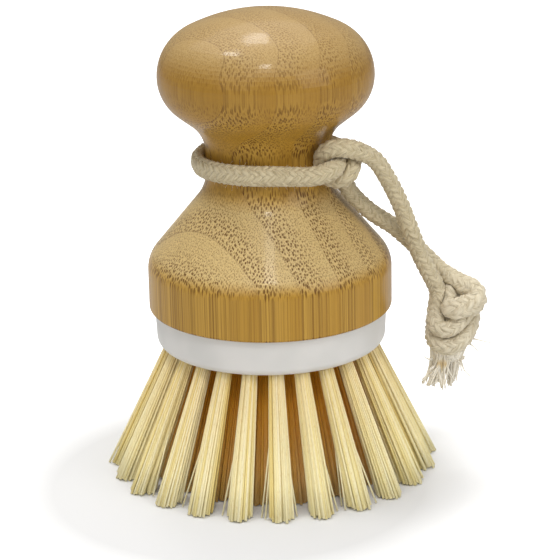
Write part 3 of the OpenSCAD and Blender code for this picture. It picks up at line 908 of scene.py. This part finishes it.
@dataclass
class Braid:
    """Sixteen soft yarns braided two over, two under, round a core.

    Lengths are in metres. The three that end in _mm set how far apart the texture's places are
    round a yarn, from yarn to yarn and from layer to layer.
    """

    radius: float = 0.0021
    lead: float = 0.0138
    yarns_each_way: int = 8
    yarn_width: float = 0.0013
    yarn_thick: float = 0.00085
    swing: float = 0.00027
    yarn_sides: int = 6
    core_sides: int = 10
    step: float = 0.00075
    own_reach: float = 0.0025
    far_reach: float = 0.007
    neighbours: int = 64
    clearance: float = 0.00004
    least_room: float = 0.0006
    press_in: float = 0.0005
    press_taller: float = 0.18
    press_thinner: float = 0.19
    # Painted shade on the core, which shows only in the gaps between the yarns.
    core_shade_tone: float = 0.85
    side_mm: float = 0.5
    yarn_gap_mm: float = 7.0
    layer_gap_mm: float = 90.0
    fuzz: int = 900
    fuzz_r: float = 0.000035
    fuzz_stations: int = 4
    fuzz_wear: float = 0.6
    place_seed: int = 11
    fuzz_seed: int = 12

    def yarns(
        self, lay: Lay, arc: np.ndarray, frames: tuple[np.ndarray, ...], path: np.ndarray
    ) -> np.ndarray:
        """Works out the eight yarns that wind one way.

        A yarn winds round the cord once in a lead. It rises and sinks by a cosine whose period is
        four crossings, which is a quarter of a lead, so that it passes over two yarns and under
        the next two. Its section is an ellipse that lies flat on the cord.

        Args:
            lay: The way the yarns wind.
            arc: Length up to each station.
            frames: The path's directions.
            path: The path's points.

        Returns:
            The points as yarn, station, side, 3.
        """
        along, side, other = (f[None] for f in frames)
        number = np.arange(self.yarns_each_way)[:, None]
        turn = 2 * np.pi * (number / self.yarns_each_way + lay.value * arc / self.lead)
        crossing = lay.value * 2 * self.yarns_each_way * arc / self.lead + 2 * number
        lift = lay.value * self.swing * np.cos(np.pi / 2 * (crossing - 0.5))
        middle = self.radius - self.swing - self.yarn_thick / 2
        outward = np.cos(turn)[..., None] * side + np.sin(turn)[..., None] * other
        around = -np.sin(turn)[..., None] * side + np.cos(turn)[..., None] * other
        slant = math.atan(2 * math.pi * middle / self.lead) * lay.value
        across = math.cos(slant) * around - math.sin(slant) * along
        centre = path[None] + outward * (middle + lift)[..., None]
        flat, thick = self.yarn_width / 2 * across, -self.yarn_thick / 2 * outward
        return centre[:, :, None] + ellipse(self.yarn_sides, flat, thick)

    def crowding(self, offset: np.ndarray, middle: np.ndarray, arc: np.ndarray) -> np.ndarray:
        """Finds how far each point stands over the wood and over the cord's other strands.

        The border to another strand is the plane half way between both middle lines, and the
        border to the wood is the handle's surface.

        Args:
            offset: The points from the middle line, as yarn, station, side, 3.
            middle: The middle line.
            arc: Length up to each station.

        Returns:
            For each point, its distance towards the nearest border as a share of the room there.
        """
        gap = np.linalg.norm(middle[:, None] - middle[None], axis=-1)
        gap[np.abs(arc[:, None] - arc[None]) < self.own_reach] = self.far_reach
        nearest = np.argsort(gap, axis=1)[:, : self.neighbours]
        reach = np.take_along_axis(gap, nearest, axis=1)
        radius = np.linalg.norm(middle[:, :2], axis=1)
        heights, radii = handle_outline()
        wood = np.interp(middle[None, :, None, 2] + offset[..., 2], heights, radii)
        room = np.maximum(radius[None, :, None] - wood - self.clearance, self.least_room)
        inward = -middle[None, :, None, :2] / radius[None, :, None, None]
        crowd = np.maximum((offset[..., :2] * inward).sum(-1) / room, 0)
        for rank in range(self.neighbours):
            way = (middle[nearest[:, rank]] - middle) / reach[:, rank, None]
            room = np.maximum(reach[:, rank] / 2 - self.clearance, self.least_room)
            share = (offset * way[None, :, None]).sum(-1) / room[None, :, None]
            crowd = np.maximum(crowd, np.where(reach[None, :, rank, None] < self.far_reach, share, 0))
        return crowd

    def build(
        self, name: str, path: np.ndarray, girth: np.ndarray, press: np.ndarray, wear: np.ndarray,
        material: bpy.types.Material,
    ) -> bpy.types.Object:
        """Braids a cord along a path.

        Args:
            name: The piece's name.
            path: The cord's middle line.
            girth: The share of its full thickness that the cord has at each point of the path.
            press: How far, from 0 to 1, the cord is pressed against the neck at each point.
            wear: How far, from 0 to 1, it is fluffed up and pale at each point.
            material: Its material.

        Returns:
            The cord, with a tone for each tube, which paints shade on the core where it shows between
            the yarns, and a texture place along and round it. Where it is pressed, it is 19% thinner
            away from the neck's axis, 18% taller, and half a millimetre nearer to the neck. Where the
            crowding c comes near 1, its section draws in by 1 / (1 + c^6)^(1/6), so that its strands
            lie flat on each other.
        """
        even, arc = even_steps(path, self.step)
        frames = carried_frames(even)
        known = lengths(path)
        girth, press, wear = (np.interp(arc, known, v)[None, :, None, None] for v in (girth, press, wear))
        outward = even[None, :, None] * (1, 1, 0)
        outward /= np.linalg.norm(outward, axis=-1, keepdims=True)
        middle = even[None, :, None] - press * self.press_in * outward
        core_r = self.radius - 2 * self.swing - self.yarn_thick * 0.75
        core = even[:, None] + ellipse(self.core_sides, core_r * frames[1], core_r * frames[2])
        # The yarns of both lays come first, then the core, then the loose fibres.
        shapes = [self.yarns(lay, arc, frames, even) for lay in Lay]
        shapes += [core[None], self.loose_fibres(even, frames)]
        layers, walls, ends, start = [], [], [], 0
        for layer, shape in enumerate(shapes):
            is_core, is_loose = layer == len(Lay), layer > len(Lay)
            stations = self.fibre_stations(len(arc)) if is_loose else np.arange(len(arc))
            away = outward[:, stations]
            around = shape - even[None, stations, None]
            taller = self.press_taller * around * (0, 0, 1)
            thinner = self.press_thinner * (around * away).sum(-1, keepdims=True) * away
            offset = (around + press[:, stations] * (taller - thinner)) * girth[:, stations]
            if not is_loose:
                crowd = self.crowding(offset, middle[0, :, 0], arc)
                offset = offset / (1 + crowd[..., None] ** 6) ** (1 / 6)
            moved = middle[:, stations] + offset
            if is_loose:
                moved = moved.reshape(self.fuzz, self.fuzz_stations, -1, 3)
            count, rows, sides = moved.shape[:3]
            faces = tube_faces(count, rows, sides)
            walls.append(faces[0] + start)
            ends.extend(face + start for face in faces[1:])
            start += count * rows * sides
            # The core gets a dark tone as painted shade; the yarns and loose fibres get none.
            tone = np.full(count * rows * sides, self.core_shade_tone if is_core else 0.0)
            worn = np.broadcast_to(wear[:, stations], (*shape.shape[:3], 1)).reshape(-1)
            worn = np.maximum(worn, self.fuzz_wear if is_loose else 0.0)
            u = np.broadcast_to(arc[None, stations, None] / MM, shape.shape[:3]).reshape(count, rows, sides)
            v = np.abs(np.arange(sides) - sides / 2) * self.side_mm + layer * self.layer_gap_mm
            v = v + np.arange(count)[:, None, None] * self.yarn_gap_mm
            place = np.stack(np.broadcast_arrays(u, v), -1).reshape(-1, 2)
            layers.append((moved.reshape(-1, 3), tone, worn, place))
        points, tones, wears, places = (np.concatenate(column) for column in zip(*layers))
        values = {"tone": tones, "wear": wears}
        return add_piece(name, points, [np.concatenate(walls), *ends], material, values, places)

    def fibre_stations(self, count: int) -> np.ndarray:
        """Gives the station of the cord at which each row of each loose fibre stands."""
        rng = np.random.default_rng(self.place_seed)
        return np.repeat(rng.integers(1, count - 1, self.fuzz), self.fuzz_stations)

    def loose_fibres(self, path: np.ndarray, frames: tuple[np.ndarray, ...]) -> np.ndarray:
        """Works out the short fibres that stand out of the cord.

        Each starts inside a yarn, leaves it at a slant and bows by the square of the way.

        Args:
            path: The cord's middle line.
            frames: Its directions.

        Returns:
            The points, with all the fibres' rows one after another, as 1, row, side, 3.
        """
        stations = self.fibre_stations(len(path))[:: self.fuzz_stations]
        rng = np.random.default_rng(self.fuzz_seed)
        along, side, other = (f[stations] for f in frames)
        turn = rng.uniform(0, 2 * np.pi, (self.fuzz, 1))
        outward = np.cos(turn) * side + np.sin(turn) * other
        around = -np.sin(turn) * side + np.cos(turn) * other
        lean = rng.normal(0, 0.9, (self.fuzz, 1)) * along + rng.normal(0, 0.9, (self.fuzz, 1)) * around
        bow = rng.normal(0, 0.5, (self.fuzz, 1)) * along + rng.normal(0, 0.5, (self.fuzz, 1)) * around
        t = np.linspace(0, 1, self.fuzz_stations)[None, :, None]
        long = rng.uniform(0.0004, 0.0011, (self.fuzz, 1, 1))
        line = (path[stations] + (self.radius - 0.0003) * outward)[:, None] + long * (
            t * (0.8 * outward + lean)[:, None] + t**2 * bow[:, None])
        section = ellipse(3, along, -around)
        points = line[:, :, None] + self.fuzz_r * (1 - 0.6 * t[..., None]) * section[:, None]
        return points.reshape(1, -1, 3, 3)


@dataclass
class HangingCord:
    """The cotton cord: up from the end knot, through the half knot, round the neck and back.

    A route point gives the angle from the front towards the right, the distance from the handle's
    axis, the height, and how far the tied cord swells there, from 0 to 1. A knot point gives x, y
    and z. A span gives the route points at which something starts, is full, is still full and has
    ended: the neck's is counted from the first route point, the lobe's from the first point of the
    lower end.
    """

    route: list[tuple[float, float, float, float]] = field(default_factory=lambda: [
        (85, 37.8, 41.5, 0), (84, 36.4, 44.6, 0), (83, 34.9, 47.8, 0), (82, 33.6, 51, 0),
        (79, 31.8, 56.8, 0), (77, 29.7, 63, 0), (73, 27.6, 68.6, 0), (67, 25.6, 73.5, 0),
        (59, 23, 76.2, 0.5), (51.5, 20.5, 77.2, 0.8), (48.5, 18.4, 76.6, 1), (48, 16.5, 74.8, 1),
        (51.5, 15.5, 72.2, 1), (53, 16.3, 70.6, 1), (54.5, 18.4, 69.9, 1), (55.5, 20.3, 70.6, 1),
        (58.5, 21.1, 72.3, 1), (66, 20.2, 73.4, 0.8), (80, 18.7, 73.3, 0.3), (99, 16.9, 73, 0),
        (123.5, 16.1, 72.8, 0), (150, 16, 72.5, 0), (180, 16, 72.2, 0), (208, 16, 71.9, 0),
        (236, 16, 71.7, 0), (264, 16, 71.6, 0), (292, 16, 71.7, 0), (320, 16, 71.9, 0),
        (344, 16.1, 72, 0), (366, 16.3, 72, 0), (381, 17.5, 71.9, 0), (391.5, 19.2, 72, 0.3),
        (401.5, 19.8, 72.6, 0.8), (410, 19.5, 73.1, 1), (418.5, 18.5, 72.9, 1), (427.5, 17.4, 71, 1),
        (434.5, 17.3, 68.2, 0.6), (437.5, 18.2, 65.4, 0.1), (441, 20.2, 62.5, 0), (444, 23.4, 59.3, 0),
        (447, 28, 55.8, 0), (449, 32, 51.8, 0), (451, 35.2, 48.2, 0),
    ])
    upper_end: list[tuple[float, float, float]] = field(default_factory=lambda: [
        (40.4, -2.4, 24.2), (41.2, -1.6, 26), (42.8, -0.2, 27.9), (44.4, 1.2, 29.8), (44.3, 2.4, 31.8),
        (42.4, 3.2, 33.3), (39.9, 3.4, 33.1), (37.8, 2.2, 32.2), (37.4, -0.4, 30.9), (37.1, -3.8, 29.9),
        (38.2, -6.2, 29.2), (40.6, -7, 29.2), (42.8, -6.4, 30.4), (44.6, -4.6, 32.8), (45.2, -2.6, 34.8),
        (44.8, -3.8, 36.6), (42.8, -5.9, 35.1), (40.6, -7, 33.4), (38.6, -6.8, 33), (37.4, -5.6, 34.2),
        (37.4, -4.3, 36), (37.7, -3.8, 37.8), (37.9, -3.7, 39.6),
    ])
    lower_end: list[tuple[float, float, float]] = field(default_factory=lambda: [
        (38.1, 0.2, 44.8), (40.3, -1, 43), (42.7, -2.4, 42), (45, -3.5, 41.2), (46, -4.8, 40),
        (45.4, -6.2, 39), (43.4, -7, 38.3), (41.2, -7, 37.6), (40.0, -4.7, 38.1), (40.1, -2.7, 40.4),
        (42.0, -1.6, 40.7), (43.8, 0.2, 37.4), (42.2, -1.2, 33.6), (40.4, -1.6, 31.6), (39.4, -0.6, 28.6),
        (38.9, -0.6, 25.6), (38.6, -0.8, 23.6),
    ])
    hitch_swell: float = 0.18
    knot_swell: float = 0.15
    lobe_swell: float = 0.24
    neck_span: tuple[int, int, int, int] = (18, 21, 29, 32)
    lobe_span: tuple[int, int, int, int] = (-1, 1, 10, 12)
    curve_steps: int = 12
    braid: Braid = field(default_factory=Braid)

    def path(self) -> np.ndarray:
        """Joins the knot's strands and the route in one smooth curve in space.

        Returns:
            For each point of the curve, x, y, z in metres, the girth, the press and the wear.
        """
        angle, reach, height, tied = np.array(self.route).T
        turn = np.radians(angle)
        loop = np.stack([reach * np.sin(turn), -reach * np.cos(turn), height], -1)
        places = np.concatenate([self.upper_end, loop, self.lower_end]) * MM
        first, count = len(self.upper_end), len(places)
        number = np.arange(count)
        last = first + len(loop)
        knotted = np.interp(number, [first - 2, first + 1, last - 1, last + 1], [1.0, 0.0, 0.0, 1.0])
        girth = 1 + self.knot_swell * knotted
        girth[first:last] += self.hitch_swell * tied
        held = [0.0, 1.0, 1.0, 0.0]
        girth += self.lobe_swell * np.interp(number, np.array(self.lobe_span) + last, held)
        press = np.interp(number, np.array(self.neck_span) + first, held)
        wear = np.interp(number, [0, 4, first - 4, first + 4, last - 3, last + 3, count - 4, count - 1],
                         [1.0, 0.35, 0.3, 0.0, 0.0, 0.3, 0.35, 1.0])
        return smooth_curve(np.column_stack([places, girth, press, wear]), self.curve_steps)

    def build(self, material: bpy.types.Material, with_pieces: list[str]) -> bpy.types.Object:
        """Args:
            material: The cotton.
            with_pieces: The names of the pieces that are on it; not used.

        Returns:
            The cord.
        """
        curve = self.path()
        path = curve[:, :3]
        piece = self.braid.build("braided_cord", path, *curve[:, 3:].T, material)
        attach(piece, "root")
        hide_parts("hanging_cord", "end_knot")
        return piece


@dataclass
class FrayedEnds:
    """The loose yarns below the end knot, in clumps, with a few whiskers that stand out of it.

    Places are in millimetres. A clump gives x, y and z, how far it spreads and its number of
    yarns. A whisker gives its start, a point that it bends towards, and its end.
    """

    top: tuple[float, float, float] = (40.4, -1.8, 27.4)
    top_size: tuple[float, float] = (4.2, 2.6)
    waist: tuple[float, float, float] = (39.7, -1.8, 22.6)
    waist_size: tuple[float, float] = (3.3, 2.3)
    clumps: list[tuple[float, float, float, float, int]] = field(default_factory=lambda: [
        (34.4, -2.6, 18.4, 0.6, 14), (35.6, -3.0, 17.8, 0.7, 16), (37.0, -2.4, 17.5, 0.6, 18),
        (39.0, -3.0, 16.8, 0.7, 22), (40.9, -2.0, 17.4, 0.7, 24), (41.6, -2.8, 18.8, 0.6, 14),
        (38.6, -0.4, 17.8, 0.8, 14), (41.0, 0.2, 18.6, 0.8, 12), (42.3, -2.0, 21.2, 0.7, 12),
        (43.8, -2.6, 24.0, 0.6, 12),
    ])
    whiskers: list[tuple[tuple[float, float, float], ...]] = field(default_factory=lambda: [
        ((44.6, -3.6, 29.6), (46.6, -4.6, 29.6), (49.8, -4.6, 28.6)),
        ((44.0, -4.0, 28.8), (45.6, -4.6, 28.2), (47.2, -4.4, 26.2)),
        ((43.0, -3.4, 24.4), (43.6, -4.0, 22.0), (45.4, -4.0, 20.2)),
        ((42.2, -3.6, 24.2), (43.2, -4.2, 23.4), (43.0, -4.2, 21.8)),
        ((36.6, -3.8, 25.0), (35.6, -4.4, 24.8), (34.6, -4.2, 25.6)),
        ((36.8, -3.4, 22.8), (36.2, -4.0, 22.6), (35.8, -4.0, 21.8)),
    ])
    yarn_r: float = 0.00028
    whisker_width: float = 1.1
    husk_place: tuple[float, float, float] = (38.6, -4.4, 23.2)
    husk_reach: float = 0.0013
    yarn_mm: float = 9.0
    yarn_gap_mm: float = 3.0
    sides: int = 5
    stations: int = 9
    seed: int = 7

    def build(self, material: bpy.types.Material) -> bpy.types.Object:
        """Makes the frayed ends, in place of their CAD node.

        Each yarn is a cubic Bezier curve from the knot through the waist to its clump, with a small
        wave across it, and tapers to under half its width.

        Args:
            material: The cotton.

        Returns:
            The piece.
        """
        rng = np.random.default_rng(self.seed)
        ends = np.concatenate([np.column_stack([
            x + rng.normal(0, spread * 0.5, n),
            y + rng.normal(0, spread * 0.5, n),
            z + np.abs(rng.normal(0, 0.7, n)),
        ]) for x, y, z, spread, n in self.clumps])
        count = len(ends)
        spot = np.sqrt(rng.uniform(0, 1, count))
        turn = np.arctan2(ends[:, 1] - self.waist[1], ends[:, 0] - self.waist[0]) + rng.normal(0, 0.7, count)
        disc = np.column_stack([spot * np.cos(turn), spot * np.sin(turn), np.zeros(count)])
        top = np.array(self.top) + disc * (*self.top_size, 0)
        waist = np.array(self.waist) + disc * (*self.waist_size, 0)
        thin = np.array([[w[0], w[1], w[1], w[2]] for w in self.whiskers])
        controls = (top, waist + (0, 0, 1.2), waist * 0.6 + ends * 0.4, ends)
        a, b, c, d = (np.concatenate([yarn, thin[:, k]])[:, None] for k, yarn in enumerate(controls))
        t = np.linspace(0, 1, self.stations)[None, :, None]
        line = (1 - t) ** 3 * a + 3 * t * (1 - t) ** 2 * b + 3 * t**2 * (1 - t) * c + t**3 * d
        total = len(line)
        phase = rng.uniform(0, 2 * np.pi, (total, 1))
        way = t[..., 0]
        wave = rng.uniform(0.05, 0.22, (total, 1)) * way
        wave = wave * np.sin(way * rng.uniform(4, 9, (total, 1)) + phase)
        line = (line + wave[..., None] * np.stack([np.cos(phase), np.sin(phase), 0 * phase], -1)) * MM
        along = np.gradient(line, axis=1)
        along /= np.linalg.norm(along, axis=-1, keepdims=True)
        first = np.cross(along, (0.25, 1.0, 0.15))
        first /= np.linalg.norm(first, axis=-1, keepdims=True)
        second = np.cross(along, first)
        width = self.yarn_r * rng.uniform(0.7, 1.25, (total, 1)) * (1 - 0.6 * way)
        width[count:] *= self.whisker_width
        points = line[:, :, None] + width[..., None, None] * ellipse(self.sides, first, second)
        # A few yarns carry a golden fleck of seed husk near the knot.
        near = np.linalg.norm(line - np.array(self.husk_place) * MM, axis=-1) < self.husk_reach
        values = {"husk": np.repeat(near.astype(float).ravel(), self.sides),
                  "wear": np.ones(near.size * self.sides)}
        across = np.arange(total)[:, None] * self.yarn_gap_mm
        uv = np.stack(np.broadcast_arrays(way * self.yarn_mm, across), -1).reshape(-1, 2)
        faces = tube_faces(total, self.stations, self.sides)
        piece = add_piece("frayed_yarns", points.reshape(-1, 3), faces, material, values,
                          np.repeat(uv, self.sides, axis=0))
        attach(piece, "root")
        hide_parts("frayed_ends")
        return piece


def dress_node(node: str, material: bpy.types.Material) -> None:
    """Gives a CAD node that stays in view its material.

    Args:
        node: The node's name.
        material: The material for all its slots.
    """
    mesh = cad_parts[node].data
    mesh.materials.clear()
    mesh.materials.append(material)
    LOG.info("%s dressed in %s", node, material.name)


def main() -> None:
    """Builds the studio and the brush."""
    logging.basicConfig(level=logging.INFO, format="%(name)s: %(message)s")
    Studio().build()
    cotton = BraidedCotton().build()
    yarns = FrayedEnds().build(cotton)
    HangingCord().build(cotton, [yarns.name])
    dress_node("handle", LacqueredBamboo().build())
    dress_node("bristle_plate", MouldedPolypropylene().build())
    dress_node("tuft_anchors", RolledSteel().build())
    BristleTufts().build(PlantFibre().build())


if __name__ == "__main__":
    main()
